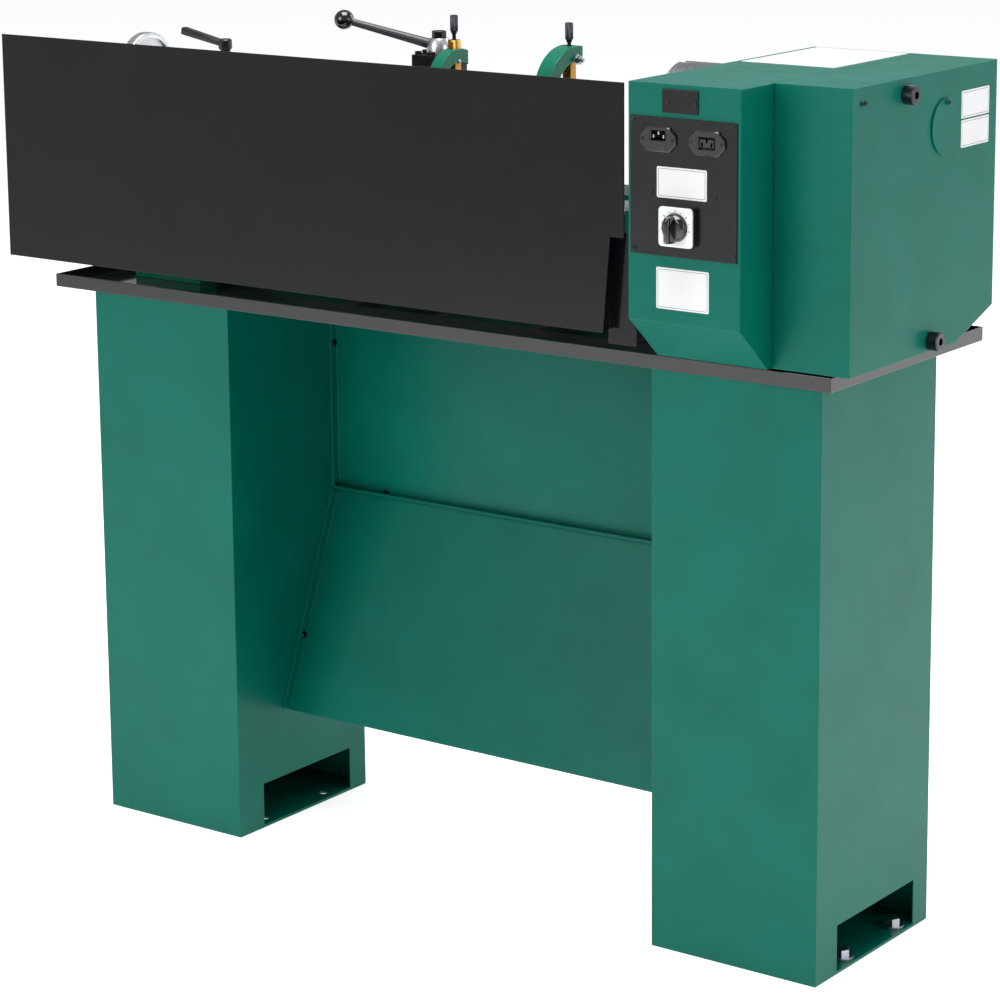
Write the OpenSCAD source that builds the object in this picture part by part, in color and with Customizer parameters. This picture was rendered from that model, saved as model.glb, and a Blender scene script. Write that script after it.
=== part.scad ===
// Bench metal lathe on a two-pedestal stand, modelled as separate working pieces.
// +X runs along the bed towards the tailstock, +Y to the rear (splash guard side), +Z up.
// The origin is on the floor, midway between the pedestals.

/* [Stand] */
// Height of the chip tray's underside above the floor
stand_h = 752; // [700:2:800]
// Width of each pedestal along the bed
ped_w = 242; // [232:2:246]
// Depth of each pedestal, front to rear
ped_d = 280; // [264:2:290]
// Distance between the pedestals' centres
ped_pitch = 929; // [915:1:930]
// Thickness of the pedestals' folded sheet
ped_t = 2; // [1.5:0.5:3]
// Height of the low access opening in each pedestal
foot_open_h = 64; // [50:2:90]
// Height of the chip tray's rim
tray_rim = 18; // [12:1:20]

/* [Bed and headstock] */
// Height of the bed's flat ways above the tray floor
bed_h = 162; // [156:1:166]
// Height of the spindle axis above the bed's flat ways
centre_h = 130; // [128:1:132]
// Radius of the spindle's bearing journals
spindle_r = 19; // [17:0.5:20]
// Radius of the hole through the spindle
bore_r = 13; // [8:0.5:14]
// Radius of the chuck
chuck_r = 56.5; // [52:0.5:62]

/* [Covers] */
// Thickness of the sheet-metal covers
skin = 2; // [1.5:0.5:3]
// Depth of the electrical box behind the headstock
ebox_d = 72; // [60:1:80]
// Height of the splash guard
guard_h = 306; // [280:2:330]
// Radius of the swinging disc over the spindle's open end
disc_r = 35; // [32:1:36]

/* [Tailstock and rests] */
// Radius of the tailstock quill
quill_r = 14; // [12:0.5:15]
// Radius of the tailstock handwheel
tail_wheel_r = 50; // [40:1:56]
// Outer radius of the steady rest's ring
rest_r = 66; // [62:1:68]
// Width of the square bronze work fingers
finger_w = 13; // [10:1:14]

/* [Hidden] */
$fn = 48;

green = "#00735f";
charcoal = "#34363a";
black = "#1c1d1f";
steel = "#b9bcc0";
bronze = "#b8893e";

// Small gaps: between pieces that slide or turn past each other, and in a running bore
gap = 0.3;
run = 0.05;

// Chip tray and stand
sheet = 2;
tray_x = [-601, 654];
tray_y = [-232, 146];
floor_z = stand_h + sheet;
rim_z = stand_h + tray_rim;
ped_x = ped_pitch / 2;
plate_t = 4;
foot_y = -8;
foot_half = 96;
anchor_dx = ped_w / 2 - 19;
anchor_dy = 65;
anchor_r = 6.5;
bolt_y = [-84, 44];

// Bed: two rails on webs, with a front outer way and a rear inner way
bed_x = [-515, 606];
rail_front = [-149, -109];
rail_rear = [-39, 1];
way_z = floor_z + bed_h;
rail_t = 32;
web_t = 16;
foot_t = 18;
foot_y0 = -182;
foot_y1 = 34;
vee_h = 8;
vee_front = -139;
vee_rear = -29;
bed_bolt_y = [-168, 20];
bed_bolt_x = [-490, -440, 505, 560];

// Spindle line, lead screw and headstock envelope
sp_y = -74;
sp_z = way_z + centre_h;
hs_x = [-521, -364];
hs_y = [-206, 149];
top_z = way_z + 199;
low_z = rim_z + 3;
gc_x0 = -627;
cover_stud = [[24, top_z - 20], [-46, low_z + 13]];
screw_y = -166;
screw_z = way_z - 80;
screw_r = 8;

// Drive: belt pulleys, motor and change gears, all behind the end cover
chuck_x = [-306, -248];
jaw_w = 14;
bearing_r = 36;
nose_x = -322;
nose_r = 50;
belt_x = [-554, -534];
pulley_x = [-558, -530];
pulley_big = 50;
pulley_small = 20;
belt_t = 4;
motor_y = 85;
motor_z = way_z - 54;
motor_r = 52;
gear_x = [-590, -578];
gear_m = 2;
teeth_spindle = 30;
teeth_idler = 86;
teeth_screw = 30;
mesh_d1 = gear_m * (teeth_spindle + teeth_idler) / 2;
mesh_d2 = gear_m * (teeth_idler + teeth_screw) / 2;
line_d = norm([screw_y - sp_y, screw_z - sp_z]);
line_a = atan2(screw_z - sp_z, screw_y - sp_y);
// Law of cosines gives the idler's centre, to the rear of the straight line
idler_a = line_a + acos((mesh_d1 ^ 2 + line_d ^ 2 - mesh_d2 ^ 2) / (2 * mesh_d1 * line_d));
idler_y = sp_y + mesh_d1 * cos(idler_a);
idler_z = sp_z + mesh_d1 * sin(idler_a);
idler_to_screw = atan2(screw_z - idler_z, screw_y - idler_y);
idler_phase = idler_a + 180 + 180 / teeth_idler;
idler_pitch = 360 / teeth_idler;
mesh_turn = idler_to_screw - idler_phase;
mesh_rest = mesh_turn - idler_pitch * floor(mesh_turn / idler_pitch);
screw_phase = idler_to_screw + 180 + mesh_rest * teeth_idler / teeth_screw + 180 / teeth_screw;

// Carriage
car_x = 178;
car_half = 95;
saddle_z = way_z + 26;
apron_y = [-196, -152];
rack_x = [-230, 500];
rack_pitch_z = way_z - 44.8;
pinion_teeth = 14;
pinion_z = rack_pitch_z - gear_m * pinion_teeth / 2;
wheel_x = 128;
lever_x = 238;
cross_z = way_z + 15;
dove_h = 10;
dove_w = 56;
cross_x = [car_x - 42, car_x + 42];
cross_top = saddle_z + 26;
tool_y = -122;
swivel_top = cross_top + 24;
slide_top = swivel_top + 32;
post_top = way_z + 165;
post_w = 54;
hub_top = post_top + 20;
handle_turn = 25;
slide_y = [tool_y - 29, tool_y + 29];
follow_x = 116;
follow_t = 18;
follow_r = 51;
follow_in = 34;

// Tailstock and steady rest
tail_x = [470, 600];
barrel_x = [452, 610];
barrel_r = 21;
lever_px = 521;
steady_x = -72;
steady_t = 24;
rest_in = rest_r - 20;
tip_r = 14;
finger_end = 71;
screw_end = 104;
hinge_y = sp_y + rest_r + 9;
steady_xs = [steady_x - steady_t / 2, steady_x + steady_t / 2];
knuckle_x = steady_xs + [7 + gap, -7 - gap];

// Electrical box and its fittings
eb_y = hs_y[1] + ebox_d;
panel_x = [-517, -368];
panel_z = [top_z - 205, top_z - 40];
panel_y = [eb_y, eb_y + 2];
inlet_x = -409;
outlet_x = -477;
socket_z = top_z - 66;
switch_x = -438;
switch_z = top_z - 167.5;
guard_y = 217;
guard_z = way_z - 110;
guard_x = [-356, 669];
stop_x = -400;
stop_y = hs_y[0] - 14;
stop_z = top_z - 44;

// ---- helpers ----
module box(x, y, z) {
    translate([x[0], y[0], z[0]]) cube([x[1] - x[0], y[1] - y[0], z[1] - z[0]]);
}
module rod_x(x, y, z, r) {
    translate([x[0], y, z]) rotate([0, 90, 0]) cylinder(h = x[1] - x[0], r = r);
}
module rod_y(y, x, z, r) {
    translate([x, y[1], z]) rotate([90, 0, 0]) cylinder(h = y[1] - y[0], r = r);
}
module rod_z(z, x, y, r) {
    translate([x, y, z[0]]) cylinder(h = z[1] - z[0], r = r);
}
// A profile drawn in the Y-Z plane, run along X
module along_x(x) {
    translate([x[0], 0, 0]) rotate([90, 0, 90]) linear_extrude(x[1] - x[0]) children();
}
// A profile drawn in the X-Z plane, run along Y
module along_y(y) {
    translate([0, y[1], 0]) rotate([90, 0, 0]) linear_extrude(y[1] - y[0]) children();
}
// A raised way of triangular section; grow widens it for the groove that rides on it
module vee(x, y, grow = 0) {
    w = vee_h + grow * 2.5;
    h = vee_h + grow;
    along_x(x) polygon([[y - w, way_z - 1], [y - w, way_z], [y, way_z + h], [y + w, way_z],
                        [y + w, way_z - 1]]);
}
// Involute tooth outline, with backlash so that meshed teeth never touch at rest
function involute(a) = tan(a) * 180 / PI - a;
function flank(n, r, base, pitch_r) =
    90 / n - 5.5 / pitch_r + involute(20) - involute(acos(min(1, base / max(r, base))));
function gear_points(n) =
    let (pitch_r = gear_m * n / 2, base = pitch_r * cos(20),
         radii = [for (depth = [-1.1, -0.4, 0.2, 0.8]) pitch_r + depth * gear_m])
    [for (i = [0:n - 1]) for (k = [0:7])
        let (r = radii[k < 4 ? k : 7 - k], a = 360 * i / n + (k < 4 ? -1 : 1) * flank(n, r, base, pitch_r))
        r * [cos(a), sin(a)]];
module spur_gear(n, w, phase) {
    linear_extrude(w) rotate(phase) polygon(gear_points(n));
}
module at_x(x, y, z) {
    translate([x, y, z]) rotate([90, 0, 90]) children();
}
module hex_bolt(x, y, z, r, head_h, shank) {
    translate([x, y, z]) cylinder(h = head_h, r = 1.8 * r, $fn = 6);
    translate([x, y, z - shank]) cylinder(h = shank, r = r);
}
// A belt's outline round both pulleys: two circles and the strip between their tangent points
module belt_shape(extra) {
    r1 = pulley_big + extra;
    r2 = pulley_small + extra;
    d = norm([motor_y - sp_y, motor_z - sp_z]);
    turn = atan2(motor_z - sp_z, motor_y - sp_y);
    lean = acos((r1 - r2) / d);
    translate([sp_y, sp_z]) rotate(turn) {
        circle(r1, $fn = 96);
        translate([d, 0]) circle(r2, $fn = 96);
        polygon([r1 * [cos(lean), sin(lean)], [d, 0] + r2 * [cos(lean), sin(lean)],
                 [d, 0] + r2 * [cos(lean), -sin(lean)], r1 * [cos(lean), -sin(lean)]]);
    }
}

// ---- stand ----
module pedestal(cx) {
    x = [cx - ped_w / 2, cx + ped_w / 2];
    y = [-ped_d / 2, ped_d / 2];
    difference() {
        box(x, y, [0, stand_h]);
        box(x + [ped_t, -ped_t], y + [ped_t, -ped_t], [plate_t, stand_h - 3]);
        box([x[0] - 1, x[0] + ped_t + 1], [foot_y - foot_half, foot_y + foot_half], [plate_t, foot_open_h]);
        for (sy = [-1, 1]) rod_z([-1, plate_t + 1], cx - sign(cx) * anchor_dx, sy * anchor_dy, anchor_r);
        for (by = bolt_y) rod_z([-1, plate_t + 1], cx + sign(cx) * anchor_dx, by, anchor_r);
        for (bx = bed_bolt_x) for (by = bed_bolt_y)
            if (abs(by) < ped_d / 2) rod_z([stand_h - 4, stand_h + 1], bx, by, 5.5);
    }
}
module tailstock_pedestal() color(green) pedestal(ped_x);
module headstock_pedestal() color(green) pedestal(-ped_x);
// Hex bolts: on round washers in the floor plates' outer holes, and through the bed's feet
module hex_bolts() color(steel) {
    for (s = [-1, 1]) for (y = bolt_y) translate([s * (ped_x + anchor_dx), y, plate_t]) {
        cylinder(h = 3, r = 15);
        hex_bolt(0, 0, 3, 6, 9, 3 + plate_t);
    }
    for (x = bed_bolt_x) for (y = bed_bolt_y) hex_bolt(x, y, floor_z + foot_t, 5, 8, foot_t + 14);
}
panel_half = ped_x - ped_w / 2;
seam_z = stand_h - 292;
panel_y0 = -91;
lower_end = [30, 158];
flange = 15;
// Upper panel: a flat sheet with a flange folded rearward on each end and at its lower edge
module upper_panel() color(green) {
    x = [-panel_half, panel_half];
    y = [panel_y0, panel_y0 + sheet];
    box(x, y, [seam_z, stand_h]);
    for (e = [[x[0], x[0] + sheet], [x[1] - sheet, x[1]]])
        box(e, [panel_y0, panel_y0 + flange], [seam_z, stand_h]);
    box(x, [panel_y0, panel_y0 + flange], [seam_z, seam_z + sheet]);
}
// Lower panel: slopes rearward as it goes down; its top flange bolts under the upper panel's
lower_run = [lower_end[0] - panel_y0, lower_end[1] - seam_z];
lower_len = norm(lower_run);
lower_tilt = atan2(lower_run[1], lower_run[0]);
module lower_panel() color(green) {
    box([-panel_half, panel_half], [panel_y0, panel_y0 + flange], [seam_z - sheet, seam_z]);
    translate([0, panel_y0, seam_z]) rotate([lower_tilt, 0, 0]) {
        box([-panel_half, panel_half], [1, lower_len], [0, sheet]);
        for (e = [[-panel_half, -panel_half + sheet], [panel_half - sheet, panel_half]])
            box(e, [8, lower_len], [0, flange]);
    }
}
module button_head(r) {
    cylinder(h = 1.4, r = r);
    translate([0, 0, 1.4]) cylinder(h = 1.4, r1 = r, r2 = r * 0.55);
}
// Small button-head screws that hold the two sheet panels to the pedestals
module panel_screws() color(black) {
    for (s = [-1, 1]) translate([s * (panel_half - sheet), panel_y0 + flange / 2, stand_h - 85])
        rotate([0, -s * 90, 0]) button_head(5);
    for (s = [-1, 1]) translate([0, panel_y0, seam_z]) rotate([lower_tilt, 0, 0])
        translate([s * (panel_half - sheet), lower_len - 107, flange / 2])
            rotate([0, -s * 90, 0]) button_head(5);
    for (x = [-255, 255]) translate([x, panel_y0 + flange / 2, seam_z + sheet]) button_head(5);
}

// ---- tray and bed ----
module chip_tray() color(black) difference() {
    box(tray_x, tray_y, [stand_h, rim_z]);
    box(tray_x + [sheet, -sheet], tray_y + [sheet, -sheet], [floor_z, rim_z + 1]);
    for (x = bed_bolt_x) for (y = bed_bolt_y) rod_z([stand_h - 1, floor_z + 1], x, y, 5.5);
}
module bed() color(green) difference() {
    union() {
        for (rail = [rail_front, rail_rear]) {
            mid = (rail[0] + rail[1]) / 2;
            box(bed_x, rail, [way_z - rail_t, way_z]);
            box(bed_x, [mid - web_t / 2, mid + web_t / 2], [floor_z + foot_t, way_z - rail_t]);
            box(bed_x, rail, [floor_z + foot_t, floor_z + foot_t + 14]);
        }
        for (x = [bed_x[0]: (bed_x[1] - bed_x[0] - 16) / 7: bed_x[1]])
            box([x, x + 16], [rail_front[0] + 12, rail_rear[1] - 12], [floor_z + foot_t, way_z - 56]);
        for (x = [[bed_x[0], -405], [486, bed_x[1]]]) box(x, [foot_y0, foot_y1], [floor_z, floor_z + foot_t]);
        vee(bed_x, vee_front);
        vee(bed_x, vee_rear);
    }
    for (x = bed_bolt_x) for (y = bed_bolt_y) rod_z([floor_z - 1, floor_z + foot_t + 1], x, y, 5.5);
}
// Rack under the front rail, teeth down
module gear_rack() color(steel) {
    pitch = PI * gear_m;
    count = floor((rack_x[1] - rack_x[0]) / pitch);
    first = wheel_x - floor((wheel_x - rack_x[0]) / pitch) * pitch + pitch / 2;
    tip = rack_pitch_z - 0.8 * gear_m;
    root = rack_pitch_z + 1.1 * gear_m;
    half = pitch / 4 - 0.1;
    along_y([rail_front[0], rail_front[0] + 11]) polygon(concat(
        [for (i = [0:count - 1]) let (x = first + i * pitch) each [
            [x - half - 1.1 * gear_m * tan(20), root], [x - half + 0.8 * gear_m * tan(20), tip],
            [x + half - 0.8 * gear_m * tan(20), tip], [x + half + 1.1 * gear_m * tan(20), root]]],
        [[first + count * pitch, way_z - rail_t], [first - pitch, way_z - rail_t]]));
}
module lead_screw_brackets() color(green)
    for (x = [[-346, -320], [580, 604]]) difference() {
        box(x, [-184, rail_front[0]], [screw_z - 22, way_z - 36]);
        rod_x(x + [-1, 1], screw_y, screw_z, screw_r + run);
    }

// ---- headstock ----
module headstock_casting() color(green) difference() {
    union() {
        box([-508, -376], [-148, 0], [way_z, sp_z + 54]);
        rod_x([-380, nose_x], sp_y, sp_z, nose_r);
    }
    box([-478, -406], [-136, -12], [way_z + 14, sp_z + 55]);
    rod_x([-509, -380], sp_y, sp_z, bearing_r);
    rod_x([-381, nose_x + 1], sp_y, sp_z, spindle_r + 1);
    vee([-509, -375], vee_front, 0.5);
    vee([-509, -375], vee_rear, 0.5);
}
module headstock_cover() color(green) difference() {
    union() {
        box(hs_x, hs_y, [low_z, top_z]);
        box([-516, -369], [stop_y, hs_y[0]], [top_z - 84, top_z - 4]);
    }
    rod_y([stop_y - 1, hs_y[0] + skin + 1], stop_x, stop_z, 8 + run);
    box(hs_x + [skin, -skin], hs_y + [skin, -skin], [low_z - 1, top_z - skin]);
    box([hs_x[1] - skin - 1, hs_x[1] + 1], [foot_y0 - 4, foot_y1 + 4], [low_z - 1, way_z + 10]);
    rod_x([hs_x[1] - skin - 1, hs_x[1] + 1], sp_y, sp_z, nose_r + 1);
    rod_x([hs_x[0] - 1, hs_x[0] + skin + 1], sp_y, sp_z, 26);
    rod_x([hs_x[0] - 1, hs_x[0] + skin + 1], motor_y, motor_z, 14);
    rod_x([hs_x[0] - 1, hs_x[0] + skin + 1], screw_y, screw_z, 12);
}
module spindle_bearings() color(steel)
    for (x = [[-506, -486], [-400, -380]]) difference() {
        rod_x(x, sp_y, sp_z, bearing_r);
        rod_x(x + [-1, 1], sp_y, sp_z, spindle_r + run);
    }
module motor_case() color(charcoal) difference() {
    union() {
        rod_x([hs_x[0] + skin, hs_x[0] + skin + 14], motor_y, motor_z, motor_r + 4);
        rod_x([hs_x[0] + skin + 14, -392], motor_y, motor_z, motor_r);
        box([-480, -420], [motor_y - 30, motor_y + 30], [motor_z + motor_r - 8, motor_z + motor_r + 22]);
        for (a = [0:15:345]) at_x(-495, motor_y, motor_z) rotate(a)
            translate([motor_r - 1, -1, 0]) cube([4, 2, 96]);
    }
    rod_x([hs_x[0], -470], motor_y, motor_z, 8 + run);
}
module drive_belt() color(black) along_x(belt_x) difference() {
    belt_shape(0.1 + belt_t);
    belt_shape(0.1);
}
module gear_quadrant() color(charcoal) {
    arm = norm([idler_y - screw_y, idler_z - screw_z]);
    difference() {
        union() {
            rod_x([-572, hs_x[0]], screw_y, screw_z, 17);
            rod_x([-572, -564], idler_y, idler_z, 16);
            at_x(-571, screw_y, screw_z) rotate(atan2(idler_z - screw_z, idler_y - screw_y))
                translate([0, -12, 0]) cube([arm, 24, 6]);
            rod_x([gear_x[0] - 4, -566], idler_y, idler_z, 8);
        }
        rod_x([-573, hs_x[0] + 1], screw_y, screw_z, screw_r + 0.6);
    }
    for (p = cover_stud) difference() {
        rod_x([gc_x0 + skin + gap, hs_x[0]], p[0], p[1], 6);
        rod_x([gc_x0, gc_x0 + 26], p[0], p[1], 4 + run);
    }
}

// ---- electrical box ----
module ebox_profile(t) {
    polygon([[hs_y[1] - t, top_z - t], [eb_y - t, top_z - t], [eb_y - t, way_z - 87],
             [hs_y[1] + 9 - t, low_z + t], [hs_y[1] - t, low_z + t]]);
}
module electrical_box() color(green) difference() {
    along_x(hs_x) ebox_profile(0);
    along_x(hs_x + [skin, -skin]) ebox_profile(skin);
    for (x = [inlet_x, outlet_x]) box([x - 21, x + 21], [eb_y - 4, eb_y + 1], [socket_z - 12, socket_z + 12]);
    rod_y([eb_y - 4, eb_y + 1], switch_x, switch_z, 16);
}
module switch_panel() color(black) {
    difference() {
        box(panel_x, panel_y, panel_z);
        for (x = [inlet_x, outlet_x])
            box([x - 21, x + 21], panel_y + [-1, 1], [socket_z - 12, socket_z + 12]);
        rod_y(panel_y + [-1, 1], switch_x, switch_z, 16);
    }
    box([switch_x - 25, switch_x + 25], panel_y, [panel_z[1] + 6, panel_z[1] + 34]);
}
module socket_body(x) {
    box([x - 25, x + 25], [panel_y[1], panel_y[1] + 3.5], [socket_z - 14.5, socket_z + 14.5]);
    box([x - 20.5, x + 20.5], [panel_y[0] - 22, panel_y[1]], [socket_z - 11.5, socket_z + 11.5]);
}
// Appliance inlet (earth pin above, fuse below) and a three-slot outlet beside it
module power_sockets() color(black) {
    y = [panel_y[1] - 14, panel_y[1] + 4];
    difference() {
        socket_body(inlet_x);
        box([inlet_x - 12, inlet_x + 12], y, [socket_z - 4, socket_z + 11]);
        box([inlet_x - 11, inlet_x + 11], y, [socket_z - 11, socket_z - 6]);
    }
    for (p = [[-7, 2], [0, 6], [7, 2]])
        translate([inlet_x + p[0] - 1, y[0], socket_z + p[1] - 2]) cube([2, 9, 4]);
    box([inlet_x - 10.5, inlet_x + 10.5], y, [socket_z - 10.5, socket_z - 6.5]);
    difference() {
        socket_body(outlet_x);
        for (p = [[-7, -2], [0, 3], [7, -2]])
            box([outlet_x + p[0] - 1, outlet_x + p[0] + 1], y, [socket_z + p[1] - 3, socket_z + p[1] + 3]);
    }
}
module cam_switch_body() color("white") difference() {
    union() {
        box([switch_x - 24, switch_x + 24], [panel_y[1], panel_y[1] + 10], [switch_z - 24, switch_z + 24]);
        rod_y([panel_y[0] - 40, panel_y[1]], switch_x, switch_z, 15.5);
    }
    rod_y([panel_y[1] - 12, panel_y[1] + 11], switch_x, switch_z, 4 + run);
}
module speed_controller() color("darkgreen") {
    box([-505, -385], [hs_y[1], hs_y[1] + 6], [way_z - 50, way_z + 50]);
    for (x = [-500:10:-400]) box([x, x + 4], [hs_y[1] + 6, hs_y[1] + 30], [way_z - 45, way_z + 5]);
    box([-490, -460], [hs_y[1] + 6, hs_y[1] + 26], [way_z + 12, way_z + 40]);
}
// Rear splash guard with its two welded arms, bolted to the back of the bed
module splash_guard() color(black) {
    x = guard_x;
    z = [guard_z, guard_z + guard_h];
    along_y([guard_y, guard_y + 2]) polygon([[x[0], z[1]], [x[0], z[0] + 119], [x[0] + 20, z[0] + 119],
        [x[0] + 31, z[0]], [x[1], z[0]], [x[1], z[1]]]);
    web_y = (rail_rear[0] + rail_rear[1] + web_t) / 2;
    for (ax = [-180, 420]) {
        box([ax, ax + 40], [web_y, guard_y], [z[0] + 14, z[0] + 17]);
        box([ax, ax + 40], [guard_y - 3, guard_y], [z[0] + 17, z[0] + 60]);
        box([ax, ax + 40], [web_y, web_y + 3], [z[0] - 3, z[0] + 14]);
    }
    box([x[0] + 33, x[0] + 35], [guard_y - 17, guard_y], [z[0] + 2, z[0] + 117]);
    box([x[0] - 6, x[0] + 35], [guard_y - 18, guard_y - 16], [z[0] - 16, z[0] + 123]);
}
// ---- spindle, chuck, motor and gears ----
module spindle() color(steel) difference() {
    union() {
        rod_x([-604, chuck_x[0] - 12], sp_y, sp_z, spindle_r);
        rod_x([chuck_x[0] - 12, chuck_x[0]], sp_y, sp_z, 44);
    }
    rod_x([-605, chuck_x[0] + 1], sp_y, sp_z, bore_r);
}
module flanged_pulley(y, z, r) {
    rod_x(pulley_x, y, z, r);
    for (x = [pulley_x[0], pulley_x[1] - 3]) rod_x([x, x + 3], y, z, r + 6);
}
// Belt pulley and change gear, pressed on the spindle's rear end
module spindle_drive_set() color(steel) difference() {
    union() {
        flanged_pulley(sp_y, sp_z, pulley_big);
        at_x(gear_x[0], sp_y, sp_z) spur_gear(teeth_spindle, gear_x[1] - gear_x[0], idler_a);
    }
    rod_x([gear_x[0] - 1, pulley_x[1] + 1], sp_y, sp_z, spindle_r);
}
module chuck_body() color(steel) difference() {
    rod_x(chuck_x, sp_y, sp_z, chuck_r);
    rod_x(chuck_x + [-1, 1], sp_y, sp_z, 16);
    for (a = [90:120:330]) at_x(chuck_x[1] - 18, sp_y, sp_z) rotate(a)
        translate([0, -jaw_w / 2 - gap, 0]) cube([chuck_r + 1, jaw_w + 2 * gap, 19]);
    for (a = [30:120:270]) at_x(chuck_x[0] + 28, sp_y, sp_z) rotate(a)
        translate([chuck_r - 12, 0, 0]) rotate([0, 90, 0]) cylinder(h = 13, r = 6);
}
// A stepped chuck jaw at angle a round the spindle
module chuck_jaw(a) color(steel) at_x(chuck_x[1] - 18 + gap, sp_y, sp_z) rotate(a) {
    translate([18, -jaw_w / 2, 0]) cube([34, jaw_w, 24]);
    translate([18, -jaw_w / 2, 24]) cube([26, jaw_w, 10]);
    translate([18, -jaw_w / 2, 34]) cube([12, jaw_w, 10]);
}
module chuck_jaw_1() chuck_jaw(90);
module chuck_jaw_2() chuck_jaw(210);
module chuck_jaw_3() chuck_jaw(330);
module motor_pulley() color(steel) {
    flanged_pulley(motor_y, motor_z, pulley_small);
    rod_x([-562, -472], motor_y, motor_z, 8);
}
module idler_gear() color(steel) difference() {
    at_x(gear_x[0], idler_y, idler_z) spur_gear(teeth_idler, gear_x[1] - gear_x[0], idler_phase);
    rod_x(gear_x + [-1, 1], idler_y, idler_z, 8 + run);
    for (a = [0:60:300]) at_x(gear_x[0] - 1, idler_y, idler_z) rotate(a)
        translate([48, 0, 0]) cylinder(h = 14, r = 17);
}
module lead_screw() color(steel) {
    rod_x([-600, 606], screw_y, screw_z, screw_r);
    difference() {
        at_x(gear_x[0], screw_y, screw_z) spur_gear(teeth_screw, gear_x[1] - gear_x[0], screw_phase);
        rod_x(gear_x + [-1, 1], screw_y, screw_z, screw_r - 1);
    }
}

// ---- carriage ----
module dovetail(y, w, z, h, grow = 0) {
    along_y(y) polygon([[car_x - w / 2 - grow, z], [car_x - w / 2 - 4 - grow, z + h + grow],
                        [car_x + w / 2 + 4 + grow, z + h + grow], [car_x + w / 2 + grow, z]]);
}
module saddle() color(steel) difference() {
    union() {
        box([car_x - car_half, car_x + car_half], [apron_y[0], rail_front[1]], [way_z + gap, saddle_z]);
        box([car_x - car_half, car_x + car_half], [rail_rear[0], rail_rear[1] + 10], [way_z + gap, saddle_z]);
        box([car_x - 50, car_x + 50], [rail_front[1], rail_rear[0]], [way_z + gap, saddle_z]);
        dovetail([-190, 8], dove_w, saddle_z, dove_h);
    }
    vee([car_x - 96, car_x + 96], vee_front, gap);
    box([car_x - 96, car_x + 96], [vee_rear - 11, vee_rear + 11], [way_z, way_z + vee_h + 1]);
    rod_y([apron_y[0] - 1, -150], car_x, cross_z, 6 + run);
}
module apron() color(green) difference() {
    box([car_x - 86, car_x + 86], apron_y, [way_z - 120, way_z + gap]);
    box([car_x - 80, car_x + 80], [apron_y[0] + 30, apron_y[1] + 1], [way_z - 114, screw_z - 14]);
    rod_x([car_x - 87, car_x + 87], screw_y, screw_z, screw_r + 0.6);
    rod_y(apron_y + [-1, 1], wheel_x, pinion_z, 6 + run);
    rod_y([apron_y[0] - 1, apron_y[0] + 14], lever_x, pinion_z, 6 + run);
}
// Disc wheel with a rim, a hub and one turned handle; its shaft runs towards +Y
module crank_wheel(x, z, y, r, shaft_end) {
    rod_y([y, y + 8], x, z, r);
    rod_y([y + 8, y + 16], x, z, r * 0.35);
    rod_y([y, shaft_end], x, z, 6);
    translate([x + r * 0.72, y, z]) rotate([90, 0, 0]) cylinder(h = 34, r1 = 5, r2 = 8);
}
module carriage_handwheel() color(steel) {
    crank_wheel(wheel_x, pinion_z, apron_y[0] - 26, 45, rail_front[0]);
    translate([wheel_x, rail_front[0] + 10, pinion_z]) rotate([90, 0, 0])
        spur_gear(pinion_teeth, 10, 90);
}
module half_nut_lever() color(black) {
    rod_y([apron_y[0] - 14, apron_y[0] - gap], lever_x, pinion_z, 12);
    rod_y([apron_y[0] - gap, apron_y[0] + 13], lever_x, pinion_z, 6);
    translate([lever_x, apron_y[0] - 10, pinion_z]) rotate([0, 150, 0]) cylinder(h = 62, r = 4);
    translate([lever_x, apron_y[0] - 10, pinion_z]) rotate([0, 150, 0]) translate([0, 0, 66]) sphere(9);
}
module cross_slide() color(steel) difference() {
    box(cross_x, [-176, -4], [saddle_z + gap, cross_top]);
    dovetail([-177, -3], dove_w, saddle_z, dove_h, gap);
    for (y = [-166, -78, -30]) box(cross_x + [-1, 1], [y, y + 6], [cross_top - 6, cross_top + 1]);
}
module cross_handle() color(steel) crank_wheel(car_x, cross_z, apron_y[0] - 26, 26, -151);
module swivel_base() color(steel) {
    rod_z([cross_top + gap, cross_top + 12], car_x, tool_y, 38);
    difference() {
        box([car_x - 50, car_x + 21], slide_y, [cross_top + 12, swivel_top]);
        box([car_x - 51, car_x + 51], [tool_y - 31, tool_y - 22], [swivel_top - 3, swivel_top + 1]);
    }
    along_x([car_x - 50, car_x + 21]) polygon([[tool_y - 15, swivel_top], [tool_y - 19, swivel_top + 9],
                                               [tool_y + 19, swivel_top + 9], [tool_y + 15, swivel_top]]);
}
module top_slide() color(steel) {
    difference() {
        box([car_x - 58, car_x + 62], slide_y, [swivel_top + gap, slide_top]);
        along_x([car_x - 59, car_x + 63]) polygon([
            [tool_y - 15 - gap, swivel_top], [tool_y - 19.4 - gap, swivel_top + 9.4],
            [tool_y + 19.4 + gap, swivel_top + 9.4], [tool_y + 15 + gap, swivel_top]]);
        rod_x([car_x + 42, car_x + 63], tool_y, slide_top - 11, 5 + run);
    }
    rod_z([slide_top, hub_top - 2], car_x, tool_y, 8);
}
module top_slide_handle() color(steel) {
    x = car_x + 62 + gap;
    rod_x([car_x + 44, x + 24], tool_y, slide_top - 11, 5);
    rod_x([x, x + 14], tool_y, slide_top - 11, 13);
    rod_x([x + 14, x + 22], tool_y, slide_top - 11, 21);
    translate([x + 22, tool_y - 15, slide_top - 11]) rotate([0, 90, 0]) cylinder(h = 26, r1 = 4, r2 = 6.5);
}
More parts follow.
